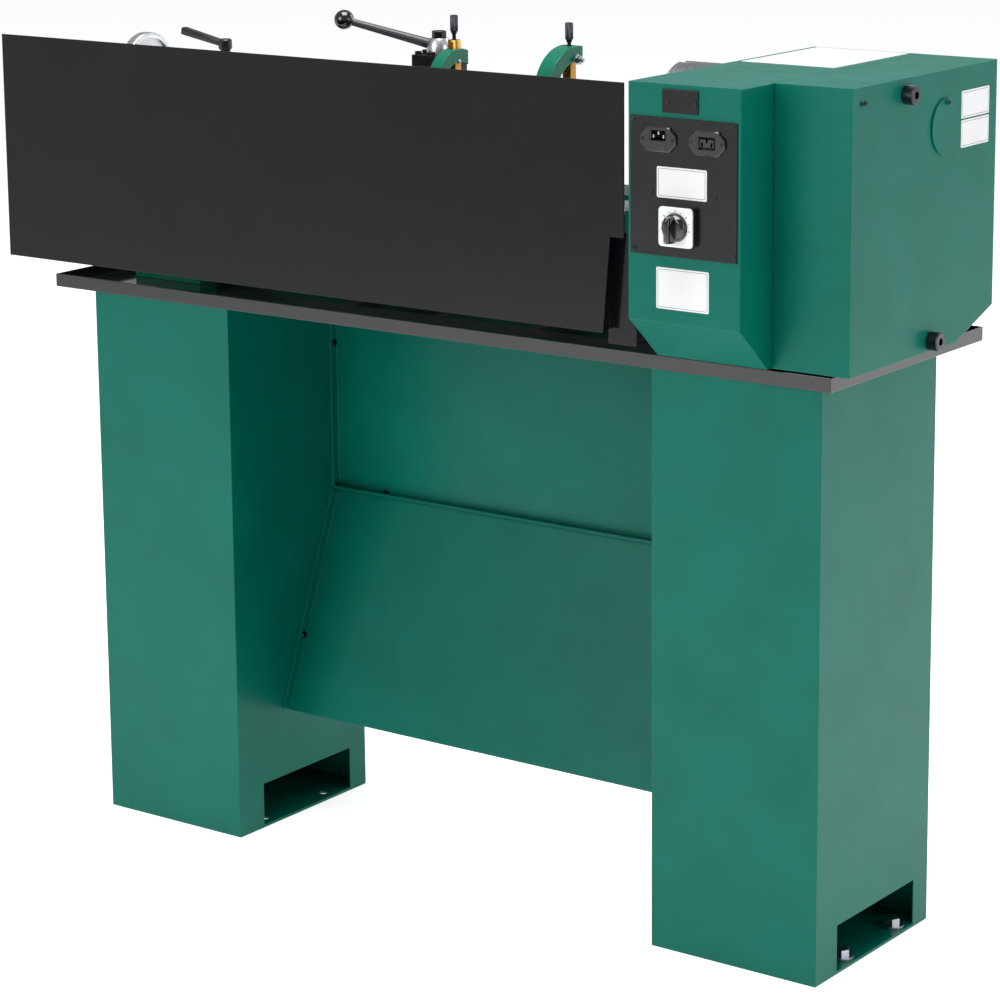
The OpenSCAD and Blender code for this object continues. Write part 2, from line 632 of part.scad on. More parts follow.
module tool_post() color(charcoal) {
    z = [slide_top + gap, post_top];
    difference() {
        box([car_x - post_w / 2, car_x + post_w / 2], [tool_y - post_w / 2, tool_y + post_w / 2], z);
        rod_z(z + [-1, 1], car_x, tool_y, 8 + run);
        for (a = [0:90:270]) translate([car_x, tool_y, 0]) rotate(a)
            box([post_w / 2 - 14, post_w / 2 + 1], [-post_w / 2 - 1, post_w / 2 - 14], [z[0] + 8, z[0] + 24]);
    }
    for (a = [0:90:270]) translate([car_x, tool_y, 0]) rotate(a) for (y = [-19, 2])
        translate([post_w / 2 - 5, y, z[0] + 20]) {
            cylinder(h = z[1] - z[0] - 20, r = 3.5);
            translate([-3.5, -3.5, z[1] - z[0] - 20]) cube([7, 7, 5]);
        }
}
module tool_post_handle() color(steel) {
    z = [post_top + gap, hub_top + 2];
    difference() {
        rod_z(z, car_x, tool_y, 17);
        rod_z([z[0] - 1, hub_top - 1], car_x, tool_y, 8 + run);
    }
    translate([car_x, tool_y, z[1]]) cylinder(h = 10, r = 10, $fn = 6);
    translate([car_x, tool_y, z[0] + 10]) rotate([0, 75.3, handle_turn]) translate([0, 0, 12]) {
        cylinder(h = 120, r1 = 7, r2 = 5);
        translate([0, 0, 125]) sphere(13.8);
    }
}

// ---- work rests ----
// The radial slot that a finger slides in, and the finger with its thumb screw
module finger_slot(a) rotate(a) translate([follow_in - 4, -finger_w / 2 - gap, 0])
    linear_extrude(2 * gap + finger_w, center = true) square([54, finger_w + 2 * gap]);
module finger(a) rotate(a) {
    translate([tip_r, -finger_w / 2, -finger_w / 2]) cube([finger_end - tip_r, finger_w, finger_w]);
    translate([finger_end, 0, 0]) rotate([0, 90, 0]) cylinder(h = screw_end - finger_end, r = 5.5);
}
module rest_cut(x, list) at_x(x, sp_y, sp_z) for (a = list) finger_slot(a);
module follow_rest() color(green) difference() {
    x = [follow_x - follow_t / 2, follow_x + follow_t / 2];
    union() {
        intersection() {
            rod_x(x, sp_y, sp_z, follow_r);
            union() {
                box(x, [sp_y, sp_y + follow_r], [sp_z - 30, sp_z + follow_r]);
                box(x, [sp_y - 19.5, sp_y + 1], [sp_z + 20, sp_z + follow_r]);
            }
        }
        box(x, [sp_y + follow_in + 6, sp_y + 78], [saddle_z, sp_z]);
        box(x + [-12, 10], [sp_y + 38, sp_y + 82], [saddle_z, saddle_z + 12]);
    }
    rod_x(x + [-1, 1], sp_y, sp_z, follow_in);
    rest_cut(follow_x, [0, 90]);
}
module follow_finger_top() color(bronze) at_x(follow_x, sp_y, sp_z) finger(90);
module follow_finger_rear() color(bronze) at_x(follow_x, sp_y, sp_z) finger(0);
module steady_rest() color(green) {
    difference() {
        union() {
            intersection() {
                rod_x(steady_xs, sp_y, sp_z, rest_r);
                box(steady_xs, [sp_y - rest_r, sp_y + rest_r], [sp_z - rest_r, sp_z]);
            }
            box(steady_xs, [sp_y - 46, sp_y + 46], [way_z + 20, sp_z - 40]);
            box(steady_xs + [-8, 8], [sp_y - 47, sp_y + 54], [way_z + gap, way_z + 20]);
            for (x = [steady_xs[0], steady_xs[1] - 7]) {
                rod_x([x, x + 7], hinge_y, sp_z, 8);
                box([x, x + 7], [hinge_y - 12, hinge_y + 8], [sp_z - 14, sp_z]);
            }
            rod_x([steady_xs[0] - 2, steady_xs[1] + 2], hinge_y, sp_z, 4);
        }
        rod_x(steady_xs + [-1, 1], sp_y, sp_z, rest_in);
        box(steady_xs + [-9, 9], [vee_rear - 11, vee_rear + 11], [way_z, way_z + vee_h + 1]);
        rest_cut(steady_x, [210, 330]);
    }
}
module steady_rest_top() color(green) difference() {
    union() {
        intersection() {
            rod_x(steady_xs, sp_y, sp_z, rest_r);
            box(steady_xs, [sp_y - 14, sp_y + rest_r], [sp_z + gap, sp_z + rest_r]);
        }
        box(knuckle_x, [hinge_y - 12, hinge_y], [sp_z + gap, sp_z + 8]);
        rod_x(knuckle_x, hinge_y, sp_z, 8);
    }
    rod_x(steady_xs + [-1, 1], sp_y, sp_z, rest_in);
    rod_x(steady_xs + [-1, 1], hinge_y, sp_z, 4 + run);
    rest_cut(steady_x, [90]);
}
module steady_finger_top() color(bronze) at_x(steady_x, sp_y, sp_z) finger(90);
module steady_finger_front() color(bronze) at_x(steady_x, sp_y, sp_z) finger(210);
module steady_finger_rear() color(bronze) at_x(steady_x, sp_y, sp_z) finger(330);

// ---- tailstock ----
module tailstock_body() color(green) difference() {
    union() {
        box(tail_x, [sp_y - 49, sp_y + 56], [way_z + gap, way_z + 34]);
        box([tail_x[0] + 12, tail_x[1] - 14], [sp_y - 20, sp_y + 20], [way_z + 34, sp_z]);
        rod_x(barrel_x, sp_y, sp_z, barrel_r);
    }
    rod_x(barrel_x + [-1, 1], sp_y, sp_z, quill_r + run);
    box(tail_x + [-1, 1], [vee_rear - 11, vee_rear + 11], [way_z, way_z + vee_h + 1]);
    rod_z([way_z, way_z + 34], 535, sp_y, 6);
    rod_z([sp_z + quill_r - 2, sp_z + barrel_r + 1], lever_px, sp_y, 4 + run);
}
// Clamp plate under the rails and the stud that draws it up
module tailstock_clamp() color(steel) {
    box([515, 555], [rail_front[1] - 9, rail_rear[0] + 9], [way_z - rail_t - 14, way_z - rail_t - 1]);
    rod_z([way_z - rail_t - 1, way_z + 34], 535, sp_y, 6);
}
module quill() color(steel) difference() {
    union() {
        rod_x([436, 600], sp_y, sp_z, quill_r);
        translate([436, sp_y, sp_z]) rotate([0, -90, 0]) cylinder(h = 14, r = 8);
        translate([422, sp_y, sp_z]) rotate([0, -90, 0]) cylinder(h = 14, r1 = 8, r2 = 0);
    }
    rod_x([500, 601], sp_y, sp_z, 7);
}
module tail_handwheel() color(steel) {
    rod_x([515, 611], sp_y, sp_z, 6);
    rod_x([610 + gap, 640], sp_y, sp_z, 19);
    rod_x([640, 674], sp_y, sp_z, 12);
    difference() {
        rod_x([664, 680], sp_y, sp_z, tail_wheel_r);
        rod_x([663, 667], sp_y, sp_z, tail_wheel_r - 9);
        rod_x([672, 681], sp_y, sp_z, tail_wheel_r - 9);
    }
    rod_x([667, 676], sp_y, sp_z, 14);
    translate([672, sp_y - 30, sp_z]) rotate([0, 90, 0]) cylinder(h = 38, r1 = 5, r2 = 8);
}
// Adjustable ratchet lever that locks the quill
module quill_lever() color(black) {
    z = sp_z + barrel_r + gap;
    rod_z([sp_z + quill_r + 1, z + 1], lever_px, sp_y, 4);
    translate([lever_px, sp_y, z]) cylinder(h = 28, r1 = 7, r2 = 10);
    translate([lever_px, sp_y, z + 20]) rotate([0, 79, 0]) cylinder(h = 74, r1 = 4.5, r2 = 6.5);
    translate([lever_px, sp_y, z + 20]) rotate([0, 79, 0]) translate([0, 0, 74]) sphere(6.5);
}

// ---- end cover and small moving pieces ----
module end_profile(t) {
    polygon([[hs_y[1] - t, low_z + t], [hs_y[1] - t, top_z - t], [hs_y[0] + t, top_z - t],
             [hs_y[0] + t, low_z + 33 + t], [hs_y[0] + 93 + t / 2, low_z + t]]);
}
module gear_cover() color(green) difference() {
    along_x([gc_x0, hs_x[0] - gap]) end_profile(0);
    along_x([gc_x0 + skin, hs_x[0] + 1]) end_profile(skin);
    rod_x([gc_x0 - 1, gc_x0 + skin + 1], sp_y, sp_z - 2, 22);
    for (p = cover_stud) rod_x([gc_x0 - 1, gc_x0 + skin + 1], p[0], p[1], 4.5);
}
// Knurled socket-head knobs that screw into the studs and hold the end cover
module cover_knobs() color(black) for (p = cover_stud) {
    rod_x([gc_x0 - 15, gc_x0], p[0], p[1], 11.5);
    rod_x([gc_x0, gc_x0 + 20], p[0], p[1], 4);
}
module bore_disc() color(green) {
    x = [gc_x0 - 2 - gap, gc_x0 - gap];
    rod_x(x, sp_y, sp_z, disc_r);
    rod_x([x[0] - 3, x[0]], sp_y, sp_z + disc_r - 5, 4);
}
module switch_knob() color(black) {
    y = panel_y[1] + 10;
    rod_y([y - 20, y + 6], switch_x, switch_z, 4);
    rod_y([y + gap, y + 8], switch_x, switch_z, 16.5);
    box([switch_x - 4.5, switch_x + 4.5], [y + 8, y + 21], [switch_z - 18, switch_z + 15]);
}
module emergency_stop() color("crimson") {
    rod_y([stop_y - 10, stop_y + 20], stop_x, stop_z, 8);
    rod_y([stop_y - 18, stop_y - 7], stop_x, stop_z, 20);
}

tailstock_pedestal();
headstock_pedestal();
upper_panel();
lower_panel();
panel_screws();
hex_bolts();
chip_tray();
bed();
gear_rack();
lead_screw_brackets();
headstock_casting();
headstock_cover();
spindle_bearings();
motor_case();
drive_belt();
gear_quadrant();
electrical_box();
switch_panel();
power_sockets();
cam_switch_body();
speed_controller();
splash_guard();
spindle();
spindle_drive_set();
chuck_body();
chuck_jaw_1();
chuck_jaw_2();
chuck_jaw_3();
motor_pulley();
idler_gear();
lead_screw();
saddle();
apron();
follow_rest();
follow_finger_top();
follow_finger_rear();
carriage_handwheel();
half_nut_lever();
cross_slide();
cross_handle();
swivel_base();
top_slide();
top_slide_handle();
tool_post();
tool_post_handle();
tailstock_body();
tailstock_clamp();
quill();
tail_handwheel();
quill_lever();
steady_rest();
steady_rest_top();
steady_finger_top();
steady_finger_front();
steady_finger_rear();
gear_cover();
cover_knobs();
bore_disc();
switch_knob();
emergency_stop();
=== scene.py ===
import math

import bpy
from mathutils import Matrix, Vector


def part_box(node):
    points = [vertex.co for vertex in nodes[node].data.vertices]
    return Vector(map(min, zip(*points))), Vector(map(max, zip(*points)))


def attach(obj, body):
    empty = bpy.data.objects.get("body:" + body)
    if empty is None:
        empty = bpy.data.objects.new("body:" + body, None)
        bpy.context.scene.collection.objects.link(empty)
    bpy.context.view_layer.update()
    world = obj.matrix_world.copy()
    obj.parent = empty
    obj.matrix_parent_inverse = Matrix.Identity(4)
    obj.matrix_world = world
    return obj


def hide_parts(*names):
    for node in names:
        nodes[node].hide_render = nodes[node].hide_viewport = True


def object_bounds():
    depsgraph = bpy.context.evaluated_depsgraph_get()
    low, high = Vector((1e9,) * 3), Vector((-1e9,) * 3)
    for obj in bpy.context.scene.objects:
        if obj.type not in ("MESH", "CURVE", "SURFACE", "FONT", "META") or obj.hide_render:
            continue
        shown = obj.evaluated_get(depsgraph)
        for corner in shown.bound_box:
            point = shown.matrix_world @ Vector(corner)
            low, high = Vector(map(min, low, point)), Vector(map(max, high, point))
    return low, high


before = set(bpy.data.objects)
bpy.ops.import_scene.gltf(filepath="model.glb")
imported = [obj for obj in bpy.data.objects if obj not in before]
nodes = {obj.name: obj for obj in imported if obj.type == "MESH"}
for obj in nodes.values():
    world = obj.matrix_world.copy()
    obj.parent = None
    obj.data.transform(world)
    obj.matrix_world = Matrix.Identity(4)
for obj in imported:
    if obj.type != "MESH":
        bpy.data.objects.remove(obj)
cad_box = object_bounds()
MM = 0.001

# The gap between moving pieces, and places that several pieces share, in millimetres
GAP = 0.3
AXIS_Y = -74.0
LOCK_X = 521.0
LABEL_Y = -150
# Directions: out of the end cover, to the rear, to the operator and along the bed to the tailstock
OUTWARD = (-1, 0, 0)
REARWARD = (0, 1, 0)
FORWARD = (0, -1, 0)
TAILWARD = (1, 0, 0)

# ---- materials ----


def linear(code):
    """An sRGB hex colour as the linear colour that a shader takes."""
    parts = [int(code[i : i + 2], 16) / 255 for i in (1, 3, 5)]
    return [c / 12.92 if c <= 0.04045 else ((c + 0.055) / 1.055) ** 2.4 for c in parts] + [1.0]


def add(tree, kind, inputs, **settings):
    """Adds a shader node with its settings. Each input is a value, or the socket that feeds it."""
    node = tree.nodes.new("ShaderNode" + kind)
    for name, value in settings.items():
        setattr(node, name, value)
    for name, value in inputs.items():
        if isinstance(value, bpy.types.NodeSocket):
            tree.links.new(value, node.inputs[name])
        else:
            node.inputs[name].default_value = value
    return node


def new_material(name, metallic, coat=0.0, glint=0.5):
    """An empty material with its even values set, its shader and the piece's own coordinates."""
    made = bpy.data.materials.new(name)
    made.use_nodes = True
    shader = made.node_tree.nodes["Principled BSDF"]
    shader.inputs["Metallic"].default_value = metallic
    shader.inputs["IOR"].default_value = 1.5
    shader.inputs["Specular IOR Level"].default_value = glint
    shader.inputs["Coat Weight"].default_value = coat
    shader.inputs["Coat Roughness"].default_value = 0.05
    place = add(made.node_tree, "TexCoord", {}).outputs["Object"]
    return made, made.node_tree, shader, place


def vary(tree, place, size, low, high, detail=2.0):
    """A number that wanders between low and high over patches of a size in millimetres."""
    cloud = add(tree, "TexNoise", {"Vector": place, "Scale": 1 / (size * MM), "Detail": detail})
    inputs = {"Value": cloud.outputs["Fac"], "From Min": 0.3, "From Max": 0.7}
    return add(tree, "MapRange", inputs | {"To Min": low, "To Max": high}).outputs["Result"]


def blend_colours(tree, amount, first, second):
    """A colour between two, each an sRGB code or a socket."""
    node = add(tree, "Mix", {}, data_type="RGBA")
    for socket, value in ((node.inputs[0], amount), (node.inputs[6], first), (node.inputs[7], second)):
        if isinstance(value, bpy.types.NodeSocket):
            tree.links.new(value, socket)
        else:
            socket.default_value = linear(value)
    return node.outputs[2]


def coated(name, colour, deep, roughness, peel, depth, coat=0.0, glint=0.5, speck=None):
    """Paint, powder coat or moulded plastic: an even colour, with orange peel or moulding grain."""
    made, tree, shader, place = new_material(name, 0.0, coat, glint)
    tone = blend_colours(tree, vary(tree, place, 90, 0.0, 1.0), colour, deep)
    if speck:
        fine = add(tree, "TexVoronoi", {"Vector": place, "Scale": 1 / (2.2 * MM)})
        spots = {"Value": fine.outputs["Distance"], "From Min": 0.1, "From Max": 0.28}
        spots |= {"To Min": 0.35, "To Max": 0.0}
        tone = blend_colours(tree, add(tree, "MapRange", spots).outputs["Result"], tone, speck)
    tree.links.new(tone, shader.inputs["Base Color"])
    sheen = vary(tree, place, 35, roughness - 0.03, roughness + 0.04)
    tree.links.new(sheen, shader.inputs["Roughness"])
    skin = add(tree, "TexNoise", {"Vector": place, "Scale": 1 / (peel * MM), "Detail": 1.5})
    relief = {"Height": skin.outputs["Fac"], "Strength": 0.6, "Distance": depth * MM}
    tree.links.new(add(tree, "Bump", relief).outputs["Normal"], shader.inputs["Normal"])
    return made


def machined(name, colour, deep, roughness, stretch, pitch, depth):
    """Bare metal: fine parallel tool marks, drawn out along the axes whose stretch is small."""
    made, tree, shader, place = new_material(name, 1.0)
    tone = blend_colours(tree, vary(tree, place, 24, 0.0, 1.0, 4.0), colour, deep)
    tree.links.new(tone, shader.inputs["Base Color"])
    drawn = add(tree, "Mapping", {"Vector": place, "Scale": stretch}).outputs["Vector"]
    marks = add(tree, "TexNoise", {"Vector": drawn, "Scale": 1 / (pitch * MM), "Detail": 3.0})
    shine = {"Value": marks.outputs["Fac"], "From Min": 0.3, "From Max": 0.7}
    shine |= {"To Min": roughness - 0.06, "To Max": roughness + 0.08}
    tree.links.new(add(tree, "MapRange", shine).outputs["Result"], shader.inputs["Roughness"])
    relief = {"Height": marks.outputs["Fac"], "Strength": 0.5, "Distance": depth * MM}
    tree.links.new(add(tree, "Bump", relief).outputs["Normal"], shader.inputs["Normal"])
    return made


# Green polyester powder coat on folded sheet steel: semi-gloss, with a fine orange peel and dark specks
powder_green = coated("powder_coat_green", "#005f51", "#00594b", 0.32, 2.0, 0.06, 0.0, 0.14, "#00503f")
# Green machine enamel sprayed over sand castings: glossier, over a coarse cast skin
enamel_green = coated("machine_enamel_green", "#03664f", "#035d46", 0.27, 7.0, 0.35, 0.12, 0.25)
# Gloss black powder coat on the splash guard: a deep black that mirrors softly
powder_black_gloss = coated(
    "powder_coat_gloss_black", "#101114", "#0e0f12", 0.12, 4.5, 0.03, 0.05, 0.18
)
# Satin black powder coat on the switch panel
powder_black = coated("powder_coat_satin_black", "#131316", "#111114", 0.2, 2.2, 0.05, 0.08, 0.28)
# Gloss black powder coat inside and round the chip tray
powder_black_tray = coated("powder_coat_black_tray", "#0d0e10", "#0b0c0e", 0.09, 3.0, 0.02, 0.3, 0.42)
# Charcoal enamel on the small brackets and the quadrant
enamel_charcoal = coated("charcoal_enamel", "#34363a", "#2c2e32", 0.35, 5.0, 0.2)
# Black glass-filled nylon, moulded with a fine spark-eroded grain
nylon_black = coated("moulded_nylon_black", "#17181a", "#131416", 0.34, 0.9, 0.05)
# Gloss black phenolic, as on the ball and the switch handle
phenolic_black = coated("phenolic_gloss_black", "#0f1011", "#0b0c0d", 0.12, 12.0, 0.01, 0.5)
# White acetal face plate of the switch, and the pale vinyl of the labels
acetal_white = coated("white_face_plate", "#e2e4e4", "#d9dbdb", 0.4, 1.4, 0.01)
vinyl_white = coated("vinyl_label_white", "#d3d4d5", "#cbcccd", 0.32, 3.0, 0.004)
# Grey ink of the labels' printed frames
vinyl_line = coated("vinyl_label_grey_ink", "#55585b", "#4c4f52", 0.35, 3.0, 0.004)
# Red moulded button
nylon_red = coated("moulded_button_red", "#b3161c", "#a01218", 0.28, 1.2, 0.02, 0.3)
# Black rubber of the drive belt
belt_rubber = coated("belt_rubber_black", "#1b1b1b", "#141414", 0.62, 0.8, 0.08)
# Green solder mask of the speed controller's board
board_green = coated("circuit_board_green", "#14522a", "#0f4222", 0.3, 1.5, 0.03)
# Surface-ground steel, its grinding marks running along the bed
steel_ground = machined("ground_steel", "#a3a5a8", "#8d9094", 0.3, (0.04, 1.0, 1.0), 0.8, 0.02)
# Turned steel, with marks round an axis along the bed
steel_turned = machined("turned_steel", "#aeb0b3", "#989b9f", 0.24, (1.0, 0.08, 0.08), 0.7, 0.02)
# Satin-polished cast wheels and hubs
wheel_polished = machined(
    "polished_wheel_rim", "#d2d4d6", "#bfc2c5", 0.31, (1.0, 0.12, 0.12), 1.2, 0.015
)
# Black-oxide steel of screws and tool post: dark and oily, with worn grey where it is handled
steel_black = machined("black_oxide_steel", "#3b3c3f", "#26272a", 0.36, (1.0, 1.0, 1.0), 1.6, 0.03)
# Black-oxide knobs and thumb screws, whose knurls are worn back to grey
steel_handled = machined("worn_black_oxide", "#5c5e62", "#3c3e42", 0.3, (1.0, 1.0, 1.0), 1.2, 0.03)
# Bright zinc plate on the stand's bolts and washers
zinc_bright = machined("zinc_plate", "#b9bdc2", "#9aa0a8", 0.3, (1.0, 1.0, 1.0), 2.0, 0.02)
# Free-cutting brass of the rests' fingers, milled along their length
brass_milled = machined("milled_brass", "#c2924a", "#a97b38", 0.26, (0.3, 0.3, 0.3), 0.5, 0.03)


def cast_with_ground_ways(name, above):
    """Enamelled casting whose upper faces, over a height in metres, are ground bare."""
    made, tree, shader, place = new_material(name, 0.0, 0.1, 0.3)
    high = add(tree, "SeparateXYZ", {"Vector": place}).outputs["Z"]
    normal = add(tree, "NewGeometry", {}).outputs["Normal"]
    facing = add(tree, "SeparateXYZ", {"Vector": normal}).outputs["Z"]
    upper = add(tree, "Math", {0: high, 1: above}, operation="GREATER_THAN").outputs[0]
    level = add(tree, "Math", {0: facing, 1: 0.3}, operation="GREATER_THAN").outputs[0]
    bare = add(tree, "Math", {0: upper, 1: level}, operation="MULTIPLY").outputs[0]
    paint = blend_colours(tree, vary(tree, place, 60, 0.0, 1.0), "#04694f", "#045f46")
    metal = blend_colours(tree, vary(tree, place, 20, 0.0, 1.0), "#a3a5a8", "#8d9094")
    tree.links.new(blend_colours(tree, bare, paint, metal), shader.inputs["Base Color"])
    tree.links.new(bare, shader.inputs["Metallic"])
    drawn = add(tree, "Mapping", {"Vector": place, "Scale": (0.04, 1.0, 1.0)}).outputs["Vector"]
    grinding = {"Vector": drawn, "Scale": 1 / (0.8 * MM), "Detail": 3.0}
    marks = add(tree, "TexNoise", grinding).outputs["Fac"]
    cast_skin = {"Vector": place, "Scale": 1 / (7 * MM), "Detail": 1.5}
    skin = add(tree, "TexNoise", cast_skin).outputs["Fac"]
    height = add(tree, "Mix", {0: bare, 2: skin, 3: marks}).outputs[0]
    relief = {"Height": height, "Strength": 0.4, "Distance": 0.15 * MM}
    tree.links.new(add(tree, "Bump", relief).outputs["Normal"], shader.inputs["Normal"])
    shader.inputs["Roughness"].default_value = 0.28
    return made


def threaded(name, pitch):
    """Bright steel with a thread along X: at every pitch in millimetres the flanks are painted dark, a
    painted shade for the deep grooves, over a bumped relief.
    """
    made, tree, shader, place = new_material(name, 1.0)
    bands = {"Vector": place, "Scale": 2 * math.pi / (20 * pitch * MM)}
    crest = add(tree, "TexWave", bands, bands_direction="X").outputs["Fac"]
    # Painted shade: dark grey flanks and bright crests stand for the shade in the thread's grooves, not
    # for a colour of the steel.
    tree.links.new(blend_colours(tree, crest, "#4e5155", "#a8abae"), shader.inputs["Base Color"])
    shader.inputs["Roughness"].default_value = 0.3
    relief = {"Height": crest, "Strength": 0.8, "Distance": 0.5 * MM}
    tree.links.new(add(tree, "Bump", relief).outputs["Normal"], shader.inputs["Normal"])
    return made


# Trapezoidal thread of the lead screw, its grooves darkened with painted shade
steel_threaded = threaded("threaded_lead_screw", 3.0)
way_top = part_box("bed")[1].z
# Enamelled bed whose vee and flat ways are ground
bed_finish = cast_with_ground_ways("bed_enamel_and_ground_ways", way_top - 0.012)

# ---- the designed nodes: finish and softened edges ----


def dress(material, width, *names):
    """Gives nodes their finish, and rounds their sharp edges by a width in millimetres."""
    for name in names:
        node = nodes[name]
        node.data.materials.clear()
        node.data.materials.append(material)
        weld = node.modifiers.new("Weld", "WELD")
        weld.merge_threshold = 0.00001
        flat = node.modifiers.new("Flat", "DECIMATE")
        flat.decimate_type = "DISSOLVE"
        flat.angle_limit = math.radians(0.6)
        if width:
            edge = node.modifiers.new("Edge", "BEVEL")
            edge.width = width * MM
            edge.segments = 2
            edge.limit_method = "ANGLE"
            edge.angle_limit = math.radians(38)
            edge.use_clamp_overlap = False
        even = node.modifiers.new("Even", "WEIGHTED_NORMAL")
        even.keep_sharp = True


dress(powder_green, 0.8, "tailstock_pedestal", "headstock_pedestal", "upper_panel", "lower_panel")
dress(powder_green, 0.9, "electrical_box", "headstock_cover", "gear_cover")
dress(powder_green, 0.4, "bore_disc")
dress(enamel_green, 1.0, "headstock_casting", "lead_screw_brackets", "apron", "tailstock_body")
dress(enamel_green, 0.8, "follow_rest", "steady_rest", "steady_rest_top")
dress(bed_finish, 0.6, "bed")
dress(powder_black_gloss, 0.5, "splash_guard")
dress(powder_black_tray, 0.6, "chip_tray")
dress(powder_black, 0.3, "switch_panel")
dress(enamel_charcoal, 0.5, "gear_quadrant", "motor_case")
dress(steel_black, 0.3, "panel_screws", "half_nut_lever")
dress(steel_black, 0.6, "tool_post")
dress(zinc_bright, 0.3, "hex_bolts")
dress(steel_ground, 0.5, "saddle", "cross_slide", "swivel_base", "top_slide", "tailstock_clamp")
dress(steel_turned, 0.4, "gear_rack", "spindle", "spindle_drive_set", "motor_pulley", "idler_gear")
dress(steel_turned, 0.5, "chuck_body", "chuck_jaw_1", "chuck_jaw_2", "chuck_jaw_3")
dress(steel_turned, 0.5, "quill", "spindle_bearings")
dress(steel_threaded, 0.4, "lead_screw")
dress(belt_rubber, 0.0, "drive_belt")
dress(board_green, 0.0, "speed_controller")

# ---- tools for new pieces: they are modelled in millimetres, then put in place ----


def alone(piece):
    """Selects one piece and nothing else."""
    bpy.ops.object.select_all(action="DESELECT")
    piece.select_set(True)
    bpy.context.view_layer.objects.active = piece
    return piece


def settle(piece):
    """Writes the piece's own move, turn and size into its mesh."""
    alone(piece)
    bpy.ops.object.transform_apply(location=True, rotation=True, scale=True)
    return piece


def pick(piece, kind, wanted):
    """In edit mode, selects the faces or corners whose place and direction are wanted."""
    bpy.ops.mesh.select_mode(type=kind)
    bpy.ops.mesh.select_all(action="DESELECT")
    bpy.ops.object.mode_set(mode="OBJECT")
    for item in piece.data.polygons if kind == "FACE" else piece.data.vertices:
        item.select = wanted(item.center if kind == "FACE" else item.co, item.normal)
    bpy.ops.object.mode_set(mode="EDIT")


def turned(steps, sides=40, ribs=None):
    """A turned part on Z: a disc, extruded and scaled from one (height, radius) to the next."""
    bpy.ops.object.select_all(action="DESELECT")
    height, radius = steps[0]
    start = {"radius": radius, "location": (0, 0, height)}
    bpy.ops.mesh.primitive_circle_add(vertices=sides, fill_type="NGON", **start)
    piece = bpy.context.object
    bpy.ops.object.mode_set(mode="EDIT")
    bpy.ops.mesh.select_all(action="SELECT")
    for (low, small), (high, large) in zip(steps, steps[1:]):
        bpy.ops.mesh.extrude_region_move(TRANSFORM_OT_translate={"value": (0, 0, high - low)})
        bpy.ops.transform.resize(value=(large / small, large / small, 1), center_override=(0, 0, high))
    bpy.ops.mesh.select_all(action="SELECT")
    bpy.ops.mesh.normals_make_consistent(inside=False)
    bpy.ops.object.mode_set(mode="OBJECT")
    settle(piece)
    if ribs:
        low, high, deep = ribs
        bpy.ops.object.mode_set(mode="EDIT")
        step = 2 * math.pi / sides

        def groove(co, normal):
            return low - 0.01 < co.z < high + 0.01 and round(math.atan2(co.y, co.x) / step) % 2 == 1

        pick(piece, "VERT", groove)
        bpy.ops.transform.resize(value=(deep, deep, 1), center_override=(0, 0, 0))
        bpy.ops.object.mode_set(mode="OBJECT")
    return piece


def dome(height, radius, start=0, stop=90, rings=6):
    """Steps over part of a ball whose middle is at a height."""
    turns = [math.radians(start + (stop - start) * i / rings) for i in range(rings + 1)]
    return [(height + radius * math.sin(t), max(radius * math.cos(t), 0.02)) for t in turns]


def block(low, high, edge=0.5, rings=2):
    """A block between two corners with rounded edges."""
    bpy.ops.object.select_all(action="DESELECT")
    low, high = Vector(low), Vector(high)
    bpy.ops.mesh.primitive_cube_add(size=1, location=(low + high) / 2, scale=high - low)
    piece = settle(bpy.context.object)
    bpy.ops.object.mode_set(mode="EDIT")
    bpy.ops.mesh.select_all(action="SELECT")
    bpy.ops.mesh.bevel(offset=edge, segments=rings, affect="EDGES")
    bpy.ops.object.mode_set(mode="OBJECT")
    return piece


def plate(width, height, depth, corner, rim=0.3, rings=4):
    """A plate on the ground plane, with corners rounded or chamfered and a softened upper rim."""
    bpy.ops.object.select_all(action="DESELECT")
    bpy.ops.mesh.primitive_cube_add(size=1, location=(0, 0, depth / 2), scale=(width, height, depth))
    piece = settle(bpy.context.object)
    bpy.ops.object.mode_set(mode="EDIT")
    bpy.ops.mesh.select_mode(type="EDGE")
    bpy.ops.mesh.select_all(action="DESELECT")
    bpy.ops.object.mode_set(mode="OBJECT")
    points = piece.data.vertices
    for line in piece.data.edges:
        line.select = abs(points[line.vertices[0]].co.z - points[line.vertices[1]].co.z) > depth / 2
    bpy.ops.object.mode_set(mode="EDIT")
    bpy.ops.mesh.bevel(offset=corner, segments=rings, affect="EDGES")
    pick(piece, "FACE", lambda co, normal: normal.z > 0.9)
    bpy.ops.mesh.inset(thickness=rim, depth=0)

    def lowered(co, normal):
        return co.z > depth - 0.001 and on_rim(co, width, height, rim, corner)

    pick(piece, "VERT", lowered)
    bpy.ops.transform.translate(value=(0, 0, -rim))
    bpy.ops.object.mode_set(mode="OBJECT")
    return piece


def on_rim(co, width, height, rim, corner):
    """Whether a corner of a plate lies on its outer rim, outside the inset."""
    across, along = width / 2 - abs(co.x), height / 2 - abs(co.y)
    if across < rim * 0.5 or along < rim * 0.5:
        return True
    if across > corner or along > corner:
        return False
    return math.hypot(corner - across, corner - along) > corner - rim * 0.5


def cut(piece, tool):
    """Cuts the tool's shape out of the piece."""
    alone(piece)
    bpy.ops.object.modifier_add(type="BOOLEAN")
    piece.modifiers[-1].object = tool
    bpy.ops.object.modifier_apply(modifier=piece.modifiers[-1].name)
    bpy.data.objects.remove(tool)
    return piece


def put(piece, centre, along=(0, 0, 1)):
    """Turns the piece's Z to a direction, and moves it to its place in millimetres, in metres."""
    upright = tuple(along) == (0, 0, 1)
    turn = Matrix() if upright else Vector(along).to_track_quat("Z", "Y").to_matrix().to_4x4()
    size = Matrix.Scale(MM, 4)
    piece.matrix_world = Matrix.Translation(Vector(centre) * MM) @ turn @ size
    return settle(piece)


